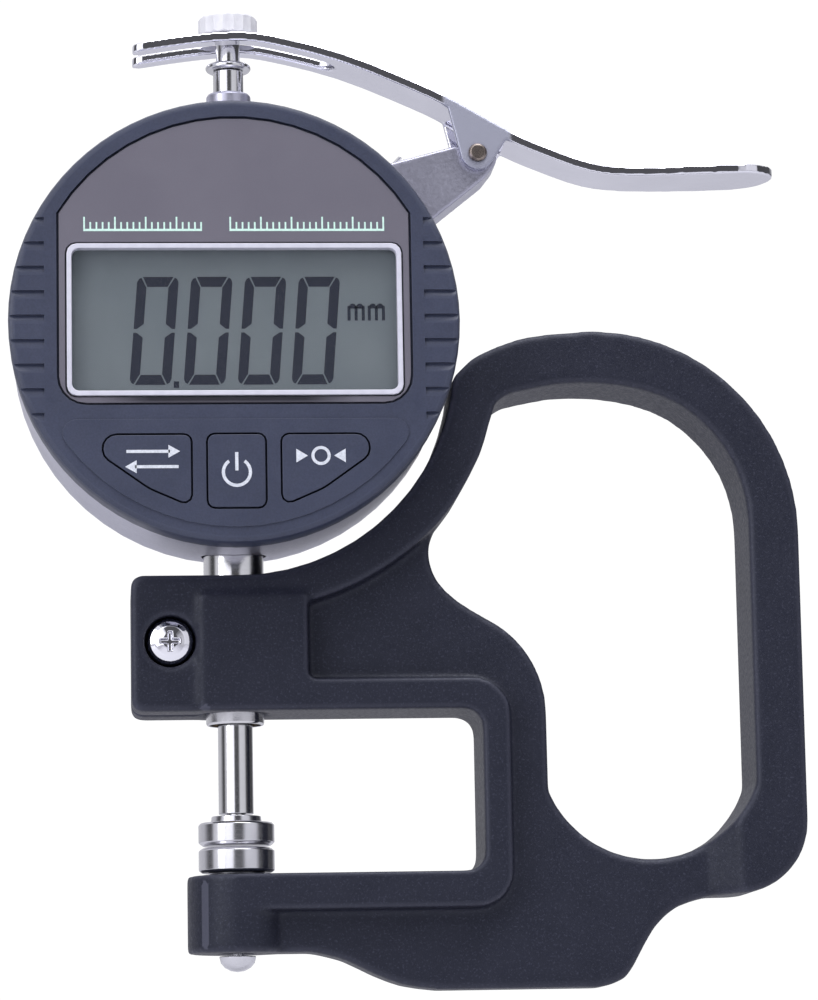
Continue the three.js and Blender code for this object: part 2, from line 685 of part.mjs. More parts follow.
/** Half the lever's width along its length: an even strip, then a wider paddle with a round end. */
function leverPlan() {
  const paddleHalf = 5.3;
  const roundFrom = 68.6;
  const edge = [...arc(FORK_TIP + PRONG_R, FORK_HALF + PRONG_R, PRONG_R, 180, 90), at(52, LEVER_HALF),
    at(57, LEVER_HALF + 0.2), at(62, paddleHalf - 0.1), at(65, paddleHalf)];
  for (let angle = 90; angle > 0; angle -= 15) {
    const [along, across] = onCircle(1, angle);
    edge.push(at(roundFrom + (LEVER_TIP - roundFrom) * along, paddleHalf * across));
  }
  const mirrored = edge.slice().reverse().map((point) => at(point.x, -point.y));
  return [...edge, at(LEVER_TIP, 0), ...mirrored];
}

/** The fork's slot, flared round the ends of its prongs. */
function forkSlot() {
  const reach = FORK_HALF + PRONG_R;
  return [
    at(FORK_TIP - 2, -reach), ...arc(FORK_TIP + PRONG_R, -reach, PRONG_R, 180, 90),
    ...arc(12.5, 0, FORK_HALF, -90, 90),
    ...arc(FORK_TIP + PRONG_R, reach, PRONG_R, 270, 180), at(FORK_TIP - 2, reach),
  ];
}

function liftLever() {
  const under = leverUnderside();
  const upper = under.map((point, i) => {
    const before = under[Math.max(i - 1, 0)];
    const after = under[Math.min(i + 1, under.length - 1)];
    const along = after.clone().sub(before).normalize();
    return at(point.x - along.y * STRIP, point.y + along.x * STRIP);
  });
  const strip = slabY([...under, ...upper.reverse()], -6, 6).intersect(prismZ(leverPlan(), 100, 135));
  const earOutline = [at(29.3, 118.1), ...arc(PIVOT_X, PIVOT_Z, 2.3, 200, 330), at(37.6, 113.9)];
  const ears = [-1, 1].map((side) => {
    const faces = [side * EAR_INNER, side * LEVER_HALF].sort((a, b) => a - b);
    return slabY(earOutline, ...faces);
  });
  return cut(
    joined(strip, ...ears),
    prismZ(forkSlot(), 115, 135),
    rodY(PIN_R + GAP, -6, 6, PIVOT_X, PIVOT_Z, 20),
  );
}

/** Rivet through the lever's ears and the bracket. */
function pivotPin() {
  const headR = 1.25;
  const head = LEVER_HALF + 0.15;
  const end = head + 0.45;
  return turnedY([
    [0, -end], [headR - 0.3, -end], [headR, -head - 0.15], [headR, -head], [PIN_R, -head],
    [PIN_R, head], [headR, head], [headR, head + 0.15], [headR - 0.3, end], [0, end],
  ], 20, PIVOT_X, PIVOT_Z);
}

/** Wedge-shaped block on the side of the case that carries the lever's pivot. */
function leverBracket() {
  const foot = arc(0, 0, CASE_R + GAP, 51.8, 30.4);
  const outline = [...foot, ...rounded([
    [34.3, 108.2 - DIAL_Z, 0.6], [36, 110.4 - DIAL_Z, 1.2],
    [35.8, 113.6 - DIAL_Z, 1.4], [30.2, 112.6 - DIAL_Z, 0.6],
    foot[0].toArray().concat(0), foot.at(-1).toArray().concat(0),
  ]).slice(0, -2)];
  return cut(
    slabY(outline, -BRACKET_HALF, BRACKET_HALF),
    rodY(PIN_R + GAP, -5, 5, PIVOT_X, PIVOT_Z - DIAL_Z, 20),
    ...BRACKET_SCREW_ANGLES.map((angle) => rodRadial(1.4, CASE_R - 1, 35, angle)),
  );
}

/** Screw from inside the case into the bracket. */
function bracketScrew(angle) {
  const head = rodRadial(2.1, 25.4, 26.9, angle, 20);
  return head.add(rodRadial(1.1, 26.5, 34.5, angle));
}

// ---------------------------------------------------------------- display head

function panelOutline() {
  const side = Math.sqrt(PANEL_R ** 2 - PANEL_HALF ** 2);
  const sideAngle = THREE.MathUtils.radToDeg(Math.atan2(side, PANEL_HALF));
  const foot = rounded([
    [-PANEL_HALF, side, 0], [-PANEL_HALF, PANEL_BOTTOM, 3.5],
    [PANEL_HALF, PANEL_BOTTOM, 3.5], [PANEL_HALF, side, 0],
  ]);
  return [...arc(0, 0, PANEL_R, sideAngle, 180 - sideAngle), ...foot.slice(1, -1)];
}

/** Raised half moon round the keys. */
function keypadOutline() {
  const start = THREE.MathUtils.radToDeg(Math.asin(-KEYPAD_TOP / KEYPAD_R));
  const chord = KEYPAD_R * Math.cos(THREE.MathUtils.degToRad(start));
  const bow = arc(0, 0, KEYPAD_R, 188 + start, 352 - start).map((point) => [point.x, point.y, 0]);
  return rounded([[-chord, KEYPAD_TOP, 1.8], ...bow, [chord, KEYPAD_TOP, 1.8]]);
}

function sideKeyOutline(side) {
  const corners = [
    [-5.9, -15.3, 0.9], [-17.2, -15.3, 1.7], [-17.1, -18, 1.5], [-11.2, -22.2, 7], [-5.9, -24.5, 0.9],
  ];
  return rounded(corners.map(([x, z, radius]) => [side * -x, z, radius]));
}

const KEYS = [
  { name: 'unit_key', outline: () => sideKeyOutline(-1) },
  { name: 'power_key', outline: () => rectangle(7.4, 9.5, 0.9, 0, -20) },
  { name: 'zero_key', outline: () => sideKeyOutline(1) },
];

const PLATE_STEP = -16; // floor of the recess that holds the label panel

function bezel() {
  const inner = BEZEL_FRONT + BEZEL_WALL;
  const shell = turnedY([
    [0, BEZEL_FRONT], [BEZEL_R - 0.9, BEZEL_FRONT], [BEZEL_R - 0.25, BEZEL_FRONT + 0.3],
    [BEZEL_R, BEZEL_FRONT + 0.9], [BEZEL_R, BEZEL_BACK], [BEZEL_R - 2, BEZEL_BACK],
    [BEZEL_R - 2, inner], [0, inner],
  ], 80);
  const scoops = [];
  for (let k = -RIB_SIDE; k <= RIB_SIDE; k++) {
    const z = 0.7 + k * RIB_PITCH;
    for (const side of [-1, 1]) {
      const reach = [side * 24.7, side * (BEZEL_R + 1)].sort((a, b) => a - b);
      const wedge = [at(BEZEL_FRONT - 1, z), at(BEZEL_FRONT + 0.5, z - 0.1), at(BEZEL_FRONT - 1, z - 3.7)];
      scoops.push(prismX(wedge, ...reach));
    }
  }
  return cut(
    joined(cut(shell, ...scoops), slabY(keypadOutline(), KEYPAD_FRONT, BEZEL_FRONT + 0.1)),
    slabY(grown(panelOutline(), GAP), BEZEL_FRONT - 1, PLATE_STEP),
    slabY(rectangle(WINDOW_W + 0.6, WINDOW_H + 0.6, 1.5), BEZEL_FRONT - 1, inner + 1),
    ...KEYS.map((key) => slabY(grown(key.outline(), KEY_GAP), BEZEL_FRONT - 1, inner + 1)),
  );
}

function facePanel() {
  const opening = rectangle(WINDOW_W + 0.4, WINDOW_H + 0.4, 1.4);
  return slabY(panelOutline(), BEZEL_FRONT + 0.2, PLATE_STEP - 0.15, [opening]);
}

function windowTrim() {
  const inside = rectangle(WINDOW_W - 2 * TRIM, WINDOW_H - 2 * TRIM, 0.9);
  return slabY(rectangle(WINDOW_W, WINDOW_H, 1.3), BEZEL_FRONT - 0.05, -15.45, [inside]);
}

function windowLens() {
  const play = 2 * TRIM + 0.3;
  return slabY(rectangle(WINDOW_W - play, WINDOW_H - play, 0.8), BEZEL_FRONT + 0.5, -15.8);
}

function lcdModule() {
  return slabY(rectangle(46, 22.4, 0.5), -15.1, -14.2);
}

function keyMat() {
  return slabY(grown(keypadOutline(), -0.6), -14.5, -14.1);
}

function displayBoard() {
  return rodY(26.6, -13.95, -13.35, 0, 0, 36);
}

/** Rear plate of the display head, with the hollow hub that turns in the case. */
function headPlate() {
  const rear = -12.55;
  return turnedY([
    [6.6, -13.1], [27, -13.1], [27, rear], [HUB_R, rear], [HUB_R, -9], [6.6, -9], [6.6, -13.1],
  ], 40);
}

function hubClip() {
  return tubeY(HUB_R + 0.2, 10.4, -10.2, -9.5, 28);
}

/** Key cap with a flange that keeps it behind the bezel. */
function keyCap(outline) {
  const cap = slabY(outline, KEY_FRONT, -15.1);
  return cap.add(slabY(grown(outline, 0.5), -15.2, -14.9));
}

// ---------------------------------------------------------------- assembly

function group(z, ...children) {
  const result = new THREE.Group();
  result.position.z = z;
  result.add(...children);
  return result;
}

const clampedFrame = group(
  0,
  piece('frame', frame(), powderCoat),
  piece('clamp_screw', clampScrew(), chrome),
  piece('anvil', anvil(), polishedSteel),
  piece('anvil_screw', anvilScrew(), chrome),
  piece('stem', stem(), polishedSteel),
  piece('lower_stem_bush', stemBush(STEM_BOTTOM + 1.2, 43), brass),
  piece('upper_stem_bush', stemBush(52, 60.5), brass),
  piece('sensor_board', sensorBoard(), circuitBoard),
  piece('return_spring', returnSpring(), polishedSteel),
  piece('pivot_pin', pivotPin(), polishedSteel),
);

const instrument = group(
  DIAL_Z,
  piece('case_shell', caseShell(), caseMetal),
  piece('back_cover', backCover(), caseMetal),
  ...COVER_SCREW_ANGLES.map((angle, i) => piece(`cover_screw_${i + 1}`, coverScrew(angle), polishedSteel)),
  piece('top_bush', topBush(), caseMetal),
  piece('guide_rod', guideRod(), polishedSteel),
  piece('battery_holder', batteryHolder(), blackPlastic),
  piece('battery_contact', batteryContact(), polishedSteel),
  piece('battery', battery(), polishedSteel),
  piece('battery_cap', batteryCap(), blackPlastic),
  piece('lever_bracket', leverBracket(), caseMetal),
  piece('bracket_screw_1', bracketScrew(BRACKET_SCREW_ANGLES[0]), polishedSteel),
  piece('bracket_screw_2', bracketScrew(BRACKET_SCREW_ANGLES[1]), polishedSteel),
);

const displayHead = group(
  DIAL_Z,
  piece('bezel', bezel(), navyPlastic),
  piece('face_panel', facePanel(), panelPlastic),
  piece('window_trim', windowTrim(), whitePlastic),
  piece('window_lens', windowLens(), clearPlastic),
  piece('lcd_module', lcdModule(), liquidCrystal),
  piece('key_mat', keyMat(), rubber),
  piece('display_board', displayBoard(), circuitBoard),
  piece('head_plate', headPlate(), navyPlastic),
  piece('hub_clip', hubClip(), polishedSteel),
  ...KEYS.map((key) => piece(key.name, keyCap(key.outline()), navyPlastic)),
);

const plunger = group(
  0,
  piece('spindle', spindle(), polishedSteel),
  piece('contact_point', contactPoint(), polishedSteel),
  piece('stop_collar', stopCollar(), polishedSteel),
  piece('lift_knob', liftKnob(), whitePlastic),
  piece('scale_carriage', scaleCarriage(), blackPlastic),
  piece('scale_strip', scaleStrip(), scaleGlass),
);

const lever = piece('lift_lever', liftLever(), chrome);
const model = group(0, clampedFrame, instrument, displayHead, plunger, lever);
const bounds = new THREE.Box3().setFromObject(model);
const middle = bounds.getCenter(new THREE.Vector3());
model.position.set(-middle.x, -middle.y, -bounds.min.z);

export default model;
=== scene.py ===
import math

import bmesh
import bpy
from mathutils import Matrix, Vector
from mathutils.geometry import tessellate_polygon


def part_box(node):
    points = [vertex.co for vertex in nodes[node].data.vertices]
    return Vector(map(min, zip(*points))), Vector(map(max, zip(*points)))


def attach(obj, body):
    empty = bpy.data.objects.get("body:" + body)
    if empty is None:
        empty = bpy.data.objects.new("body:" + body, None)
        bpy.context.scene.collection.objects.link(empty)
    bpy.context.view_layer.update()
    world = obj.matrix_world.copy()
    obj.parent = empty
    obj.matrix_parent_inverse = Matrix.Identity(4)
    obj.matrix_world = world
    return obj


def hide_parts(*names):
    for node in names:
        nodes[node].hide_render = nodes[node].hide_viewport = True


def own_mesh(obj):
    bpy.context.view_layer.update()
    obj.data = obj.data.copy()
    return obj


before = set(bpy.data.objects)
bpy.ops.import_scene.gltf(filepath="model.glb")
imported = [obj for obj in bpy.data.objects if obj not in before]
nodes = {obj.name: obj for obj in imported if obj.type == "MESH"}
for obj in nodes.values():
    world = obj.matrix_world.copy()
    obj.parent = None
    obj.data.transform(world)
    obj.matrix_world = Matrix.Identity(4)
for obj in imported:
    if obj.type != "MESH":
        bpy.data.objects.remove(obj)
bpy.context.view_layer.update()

MM = 0.001


def middle(node):
    low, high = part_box(node)
    return (low + high) / 2


AXIS = middle("spindle")  # the plunger's axis
FOOT_Z = -0.3  # underside of the frame's foot, in the millimetres that mm() takes


def mm(x, y, z):
    """A point given in millimetres about the plunger's axis, as the CAD source draws it."""
    return Vector((AXIS.x + x * MM, AXIS.y + y * MM, (z - FOOT_Z) * MM))


# ---------------------------------------------------------------- materials


class Tree:
    """A node tree, and short calls for the nodes that any tree may need."""

    def __init__(self, tree):
        self.tree = tree

    def add(self, kind, **settings):
        node = self.tree.nodes.new(kind)
        for key, value in settings.items():
            setattr(node, key, value)
        return node

    def link(self, source, target):
        self.tree.links.new(source, target)

    def feed(self, node, socket, value):
        if isinstance(value, bpy.types.NodeSocket):
            self.link(value, node.inputs[socket])
        else:
            node.inputs[socket].default_value = value

    def ramp(self, value, stops, mode="LINEAR"):
        """Colours or greys at positions along a value."""
        node = self.add("ShaderNodeValToRGB")
        node.color_ramp.interpolation = mode
        elements = node.color_ramp.elements
        while len(elements) < len(stops):
            elements.new(0.5)
        for element, (position, colour) in zip(elements, stops):
            element.position = position
            if isinstance(colour, (int, float)):
                colour = (colour,) * 3
            element.color = (*colour, 1)
        self.link(value, node.inputs["Fac"])
        return node.outputs["Color"]

    def maths(self, operation, a, b=0.0):
        node = self.add("ShaderNodeMath", operation=operation)
        for i, value in enumerate((a, b)):
            self.feed(node, i, value)
        return node.outputs["Value"]

    def mix(self, factor, a, b, blend="MIX"):
        node = self.add("ShaderNodeMix", data_type="RGBA", blend_type=blend)
        self.feed(node, 0, factor)
        for i, value in ((6, a), (7, b)):
            self.feed(node, i, value if isinstance(value, bpy.types.NodeSocket) else (*value, 1))
        return node.outputs[2]

    def parts(self, vector):
        """The X, Y and Z of a vector."""
        node = self.add("ShaderNodeSeparateXYZ")
        self.link(vector, node.inputs[0])
        return node.outputs


class Graph(Tree):
    """A material with a Principled shader, and short calls for the nodes that feed it."""

    def __init__(self, name):
        self.material = bpy.data.materials.new(name)
        self.material.use_nodes = True
        super().__init__(self.material.node_tree)
        self.shader = self.tree.nodes["Principled BSDF"]
        self.place = self.add("ShaderNodeTexCoord").outputs["Object"]

    def set(self, **values):
        for name, value in values.items():
            self.feed(self.shader, name.replace("_", " "), value)

    def stretched(self, scale, turn=(0, 0, 0)):
        node = self.add("ShaderNodeMapping")
        node.inputs["Scale"].default_value = scale
        node.inputs["Rotation"].default_value = turn
        self.link(self.place, node.inputs["Vector"])
        return node.outputs["Vector"]

    def noise(self, size, detail=3.0, roughness=0.55, place=None):
        """Noise whose features are about size millimetres across."""
        node = self.add("ShaderNodeTexNoise")
        node.inputs["Scale"].default_value = 1 / (size * MM)
        node.inputs["Detail"].default_value = detail
        node.inputs["Roughness"].default_value = roughness
        self.link(place or self.place, node.inputs["Vector"])
        return node.outputs["Fac"]

    def cells(self, size, place=None):
        node = self.add("ShaderNodeTexVoronoi")
        node.inputs["Scale"].default_value = 1 / (size * MM)
        self.link(place or self.place, node.inputs["Vector"])
        return node.outputs["Distance"]

    def between(self, value, low, high, source=(0.3, 0.7)):
        node = self.add("ShaderNodeMapRange")
        node.inputs["From Min"].default_value = source[0]
        node.inputs["From Max"].default_value = source[1]
        node.inputs["To Min"].default_value = low
        node.inputs["To Max"].default_value = high
        self.link(value, node.inputs["Value"])
        return node.outputs["Result"]

    def off(self, axis, centre):
        """Distance from the centre along an axis, in metres."""
        return self.maths("ABSOLUTE", self.maths("SUBTRACT", self.parts(self.place)[axis], centre))

    def bump(self, height, distance, strength=1.0, normal=None):
        """Relief of about distance millimetres."""
        node = self.add("ShaderNodeBump")
        node.inputs["Strength"].default_value = strength
        node.inputs["Distance"].default_value = distance * MM
        self.link(height, node.inputs["Height"])
        if normal:
            self.link(normal, node.inputs["Normal"])
        return node.outputs["Normal"]

    def edges(self, radius):
        """1 on convex and concave edges, 0 on flats."""
        rounded = self.add("ShaderNodeBevel", samples=4)
        rounded.inputs["Radius"].default_value = radius * MM
        geometry = self.add("ShaderNodeNewGeometry")
        dot = self.add("ShaderNodeVectorMath", operation="DOT_PRODUCT")
        self.link(rounded.outputs["Normal"], dot.inputs[0])
        self.link(geometry.outputs["True Normal"], dot.inputs[1])
        return self.between(dot.outputs["Value"], 1.0, 0.0, (0.75, 0.985))

    def pointiness(self):
        return self.add("ShaderNodeNewGeometry").outputs["Pointiness"]


def powder_coat():
    """Fine wrinkle powder coat, nearly black with a blue cast and pale specks; convex edges painted lighter,
    partly as wear and partly as a painted highlight.
    """
    g = Graph("powder_coat_look")
    base = g.ramp(g.noise(6, 4), [(0.3, (0.0085, 0.0098, 0.0200)), (0.7, (0.0125, 0.0138, 0.0260))])
    speck = g.ramp(g.noise(0.30, 2, 0.7), [(0.55, 0.0), (0.72, 1.0)])
    speckled = g.mix(speck, base, (0.032, 0.034, 0.055))
    # painted highlight: convex edges are mixed toward a lighter blue-grey, standing partly for wear and
    # partly for light along the rounded edges
    worn_and_highlit = g.ramp(g.pointiness(), [(0.512, 0.0), (0.57, 1.0)])
    g.set(Base_Color=g.mix(g.maths("MULTIPLY", worn_and_highlit, 0.75), speckled, (0.075, 0.078, 0.110)))
    g.set(Roughness=g.between(g.noise(0.5, 3), 0.40, 0.58), Metallic=0.0)
    g.set(Specular_IOR_Level=0.36, Specular_Tint=(0.86, 0.90, 1.0, 1))
    wrinkle = g.bump(g.noise(0.34, 3, 0.65), 0.05, 0.75)
    g.set(Normal=g.bump(g.noise(2.2, 2), 0.05, 0.35, wrinkle))
    return g.material


def moulded(name, low, high, rough, grain=0.25, relief=0.012, edge=(0.11, 0.125, 0.18)):
    """Satin injection-moulded plastic with a fine spark-eroded grain, and edges painted lighter, partly as
    rubbing wear and partly as a painted highlight.
    """
    g = Graph(name)
    base = g.ramp(g.noise(9, 3), [(0.3, low), (0.7, high)])
    fine = g.ramp(g.noise(grain, 2, 0.6), [(0.35, 0.88), (0.65, 1.06)])
    toned = g.mix(1.0, base, fine, "MULTIPLY")
    # painted highlight: every edge, convex and concave, is mixed toward the lighter edge colour, standing
    # also for rubbing wear
    g.set(Base_Color=g.mix(g.maths("MULTIPLY", g.edges(0.12), 0.45), toned, edge))
    g.set(Roughness=g.between(g.noise(1.5, 4), *rough), Specular_IOR_Level=0.4)
    g.set(Normal=g.bump(g.noise(grain, 2, 0.6), relief, 0.6))
    return g.material


def panel():
    """Smooth satin label panel, with the soft shade that the trim throws below it."""
    g = Graph("panel_plastic_look")
    base = g.ramp(g.noise(14, 3), [(0.3, (0.132, 0.126, 0.158)), (0.7, (0.148, 0.141, 0.174))])
    fine = g.ramp(g.noise(0.12, 2, 0.6), [(0.35, 0.97), (0.65, 1.03)])
    centre = mm(-1, 0, 75.75)
    across = g.between(g.off("X", centre.x), 1, 0, (0.010, 0.017))
    along = g.between(g.off("Z", centre.z), 1, 0, (0.0002, 0.0009))
    shade = g.maths("MULTIPLY", across, along)
    toned = g.mix(1.0, base, fine, "MULTIPLY")
    g.set(Base_Color=g.mix(g.maths("MULTIPLY", shade, 0.9), toned, (0.012, 0.012, 0.018)))
    g.set(Roughness=g.between(g.noise(2, 3), 0.30, 0.38), Specular_IOR_Level=0.4)
    g.set(Normal=g.bump(g.noise(0.12, 2), 0.004, 0.4))
    return g.material


def gloss_white():
    g = Graph("white_plastic_look")
    g.set(Base_Color=g.ramp(g.noise(1.5, 3), [(0.3, (0.56, 0.56, 0.65)), (0.7, (0.63, 0.63, 0.72))]))
    g.set(Roughness=g.between(g.noise(0.8, 3), 0.28, 0.4))
    g.set(Normal=g.bump(g.noise(0.3, 2), 0.005, 0.4))
    return g.material


def knob_white():
    """Translucent white plastic, with painted shade darkening its edges and the foot of its flutes."""
    g = Graph("knob_plastic_look")
    base = g.ramp(g.noise(1.2, 3), [(0.3, (0.68, 0.68, 0.73)), (0.7, (0.75, 0.75, 0.79))])
    # painted shade: edges and flute feet are mixed toward a darker grey
    g.set(Base_Color=g.mix(g.maths("MULTIPLY", g.edges(0.16), 0.6), base, (0.40, 0.40, 0.48)))
    g.set(Roughness=g.between(g.noise(0.8, 3), 0.30, 0.42))
    g.set(Normal=g.bump(g.noise(0.2, 2), 0.006, 0.4))
    g.set(Subsurface_Weight=0.25, Subsurface_Radius=(1.0, 1.0, 1.0), Subsurface_Scale=0.0006)
    return g.material


def printed(name, low, high):
    """Screen-printed ink with slightly uneven cover."""
    g = Graph(name)
    g.set(Base_Color=g.ramp(g.noise(0.35, 3), [(0.3, low), (0.7, high)]))
    g.set(Roughness=g.between(g.noise(0.3, 2), 0.45, 0.6), Specular_IOR_Level=0.25)
    g.set(Normal=g.bump(g.noise(0.08, 2), 0.004, 0.5))
    return g.material


def metal(name, low, high, rough, streak=None, relief=0.003, blotch=5.0):
    """Bare metal; streak stretches its fine scratches along an axis."""
    g = Graph(name)
    g.set(Base_Color=g.ramp(g.noise(blotch, 4), [(0.3, low), (0.7, high)]))
    g.set(Metallic=1.0)
    lines = g.noise(0.09, 3, 0.6, g.stretched(streak)) if streak else g.noise(0.09, 3)
    g.set(Roughness=g.between(lines, *rough))
    g.set(Normal=g.bump(lines, relief, 0.35))
    return g.material


def lever_chrome():
    """Bright chrome, left satin on the bent ears where the strip was pressed."""
    g = Graph("lever_look")
    bright = g.ramp(g.noise(6, 4), [(0.3, (0.80, 0.80, 0.87)), (0.7, (0.86, 0.86, 0.93))])
    pivot = middle("pivot_pin")
    beside_pivot = g.between(g.off("X", pivot.x), 1, 0, (0.0042, 0.0050))
    outside = g.between(g.off("Y", pivot.y), 0, 1, (0.0040, 0.0044))
    ear = g.maths("MULTIPLY", beside_pivot, outside)
    g.set(Base_Color=g.mix(ear, bright, (0.42, 0.43, 0.52)), Metallic=1.0)
    fine = g.noise(0.12, 3)
    g.set(Roughness=g.maths("ADD", g.between(fine, 0.04, 0.10), g.maths("MULTIPLY", ear, 0.42)))
    g.set(Normal=g.bump(fine, 0.002, 0.3))
    return g.material


def case_finish():
    """Bead-blasted and satin-plated alloy."""
    g = Graph("case_metal_look")
    base = g.ramp(g.noise(7, 4), [(0.3, (0.42, 0.42, 0.51)), (0.7, (0.48, 0.48, 0.58))])
    fine = g.ramp(g.noise(0.15, 2, 0.6), [(0.35, 0.94), (0.65, 1.05)])
    g.set(Base_Color=g.mix(1.0, base, fine, "MULTIPLY"), Metallic=0.75)
    g.set(Roughness=g.between(g.noise(0.5, 4), 0.28, 0.38))
    g.set(Normal=g.bump(g.noise(0.13, 3), 0.006, 0.5))
    return g.material


def crystal():
    """Grey-green reflective liquid crystal behind a polariser."""
    g = Graph("liquid_crystal_look")
    base = g.ramp(g.noise(12, 2), [(0.3, (0.128, 0.152, 0.168)), (0.7, (0.146, 0.170, 0.184))])
    fine = g.ramp(g.noise(0.1, 2), [(0.35, 0.97), (0.65, 1.03)])
    g.set(Base_Color=g.mix(1.0, base, fine, "MULTIPLY"))
    g.set(Roughness=g.between(g.noise(0.6, 2), 0.5, 0.6), Specular_IOR_Level=0.3)
    g.set(Normal=g.bump(g.noise(0.1, 2), 0.003, 0.4))
    return g.material


def clear_window():
    """Clear acrylic: see-through, with a faint surface gloss."""
    g = Graph("window_clear_look")
    g.set(Base_Color=(0.10, 0.11, 0.12, 1))
    smear = g.noise(5, 4)
    g.set(Roughness=g.between(smear, 0.05, 0.16))
    g.set(Alpha=g.between(smear, 0.03, 0.05))
    g.set(Normal=g.bump(g.noise(6, 1), 0.01, 0.2))
    return g.material


def board():
    """Solder mask over copper tracks."""
    g = Graph("circuit_board_look")
    tracks = g.ramp(g.cells(2.2), [(0.30, (0.010, 0.070, 0.030)), (0.42, (0.020, 0.130, 0.060))])
    g.set(Base_Color=g.mix(g.ramp(g.cells(1.1), [(0.05, 1.0), (0.12, 0.0)]), tracks, (0.45, 0.33, 0.12)))
    g.set(Roughness=g.between(g.noise(0.5, 3), 0.3, 0.5))
    g.set(Normal=g.bump(g.cells(2.2), 0.02, 0.5))
    return g.material


# how fine scratches are scaled along x, y and z: the smaller, the longer
POLISHED, TURNED, REAMED, RULED = (0.15, 0.15, 1), (0.05, 0.05, 1), (0.1, 0.1, 1), (4, 1, 0.1)

LOOKS = {
    "powder_coat": powder_coat(),
    "navy_plastic": moulded("navy_plastic_look", (0.036, 0.043, 0.076), (0.044, 0.052, 0.090), (0.38, 0.48)),
    "panel_plastic": panel(),
    "white_plastic": gloss_white(),
    "knob": knob_white(),
    "key_print": printed("key_print_look", (0.52, 0.55, 0.62), (0.70, 0.73, 0.80)),
    "scale_print": printed("scale_print_look", (0.50, 0.74, 0.66), (0.64, 0.86, 0.78)),
    "segments": printed("segment_look", (0.012, 0.015, 0.028), (0.018, 0.021, 0.036)),
    "case_metal": case_finish(),
    "lever": lever_chrome(),
    "chrome": metal("chrome_look", (0.80, 0.80, 0.86), (0.86, 0.86, 0.92), (0.03, 0.09)),
    "polished_steel": metal(
        "polished_steel_look", (0.64, 0.64, 0.66), (0.72, 0.72, 0.74), (0.10, 0.19), POLISHED),
    "turned_steel": metal(
        "turned_steel_look", (0.62, 0.62, 0.66), (0.70, 0.70, 0.74), (0.13, 0.24), TURNED),
    "rivet": metal(
        "rivet_look", (0.20, 0.17, 0.16), (0.34, 0.29, 0.26), (0.22, 0.4), relief=0.01, blotch=0.8),
    "bush_brass": metal(
        "bush_brass_look", (0.62, 0.42, 0.16), (0.72, 0.50, 0.22), (0.2, 0.35), REAMED),
    "black_plastic": moulded(
        "black_plastic_look", (0.012, 0.012, 0.014), (0.018, 0.018, 0.021), (0.42, 0.55),
        grain=0.3, relief=0.015, edge=(0.05, 0.05, 0.055)),
    "silicone": moulded(
        "silicone_look", (0.035, 0.038, 0.055), (0.045, 0.048, 0.068), (0.6, 0.75),
        grain=0.4, relief=0.02, edge=(0.07, 0.07, 0.09)),
    "window_clear": clear_window(),
    "liquid_crystal": crystal(),
    "circuit_board": board(),
    "scale_glass": metal(
        "scale_glass_look", (0.45, 0.50, 0.48), (0.60, 0.64, 0.62), (0.08, 0.15), RULED),
}


def paint(obj, look):
    obj.data.materials.clear()
    obj.data.materials.append(LOOKS[look])


# ---------------------------------------------------------------- carried-over CAD nodes


def modify(obj, kind, **settings):
    made = obj.modifiers.new(kind.title(), kind)
    for key, value in settings.items():
        setattr(made, key, value)
    return made


def smooth(obj):
    obj.data.polygons.foreach_set("use_smooth", [True] * len(obj.data.polygons))


def piece(name, mesh):
    """A new object from a bmesh, which is freed."""
    bmesh.ops.recalc_face_normals(mesh, faces=mesh.faces)
    data = bpy.data.meshes.new(name)
    mesh.to_mesh(data)
    mesh.free()
    obj = bpy.data.objects.new(name, data)
    bpy.context.scene.collection.objects.link(obj)
    return obj


SAME_POINT = 2e-6  # metres between corners that are one
FLAT = math.radians(0.4)  # faces that differ by less lie in one plane
SHARP = math.radians(28)  # faces that differ by more meet in a real edge


def crisp(name, look, width):
    """A CAD node with its facets merged and every real edge broken by width millimetres."""
    obj = nodes[name]
    smooth(obj)
    modify(obj, "WELD", merge_threshold=SAME_POINT)
    modify(obj, "DECIMATE", decimate_type="DISSOLVE", angle_limit=FLAT)
    modify(obj, "BEVEL", width=width * MM, segments=2, limit_method="ANGLE", angle_limit=SHARP,
           use_clamp_overlap=True)
    modify(obj, "WEIGHTED_NORMAL", keep_sharp=True, weight=80)
    paint(obj, look)


def cast(name, look, voxel, passes):
    """A CAD node with the soft edges of a casting or a moulding; voxel is in millimetres."""
    obj = nodes[name]
    modify(obj, "REMESH", mode="VOXEL", voxel_size=voxel * MM, use_smooth_shade=True)
    modify(obj, "SMOOTH", factor=0.5, iterations=passes)
    paint(obj, look)


cast("frame", "powder_coat", 0.4, 12)
cast("clamp_screw", "chrome", 0.07, 5)
cast("lever_bracket", "case_metal", 0.2, 5)
cast("lift_lever", "lever", 0.15, 9)

SCREWS = [f"bracket_screw_{i}" for i in (1, 2)] + [f"cover_screw_{i}" for i in (1, 2, 3, 4)]
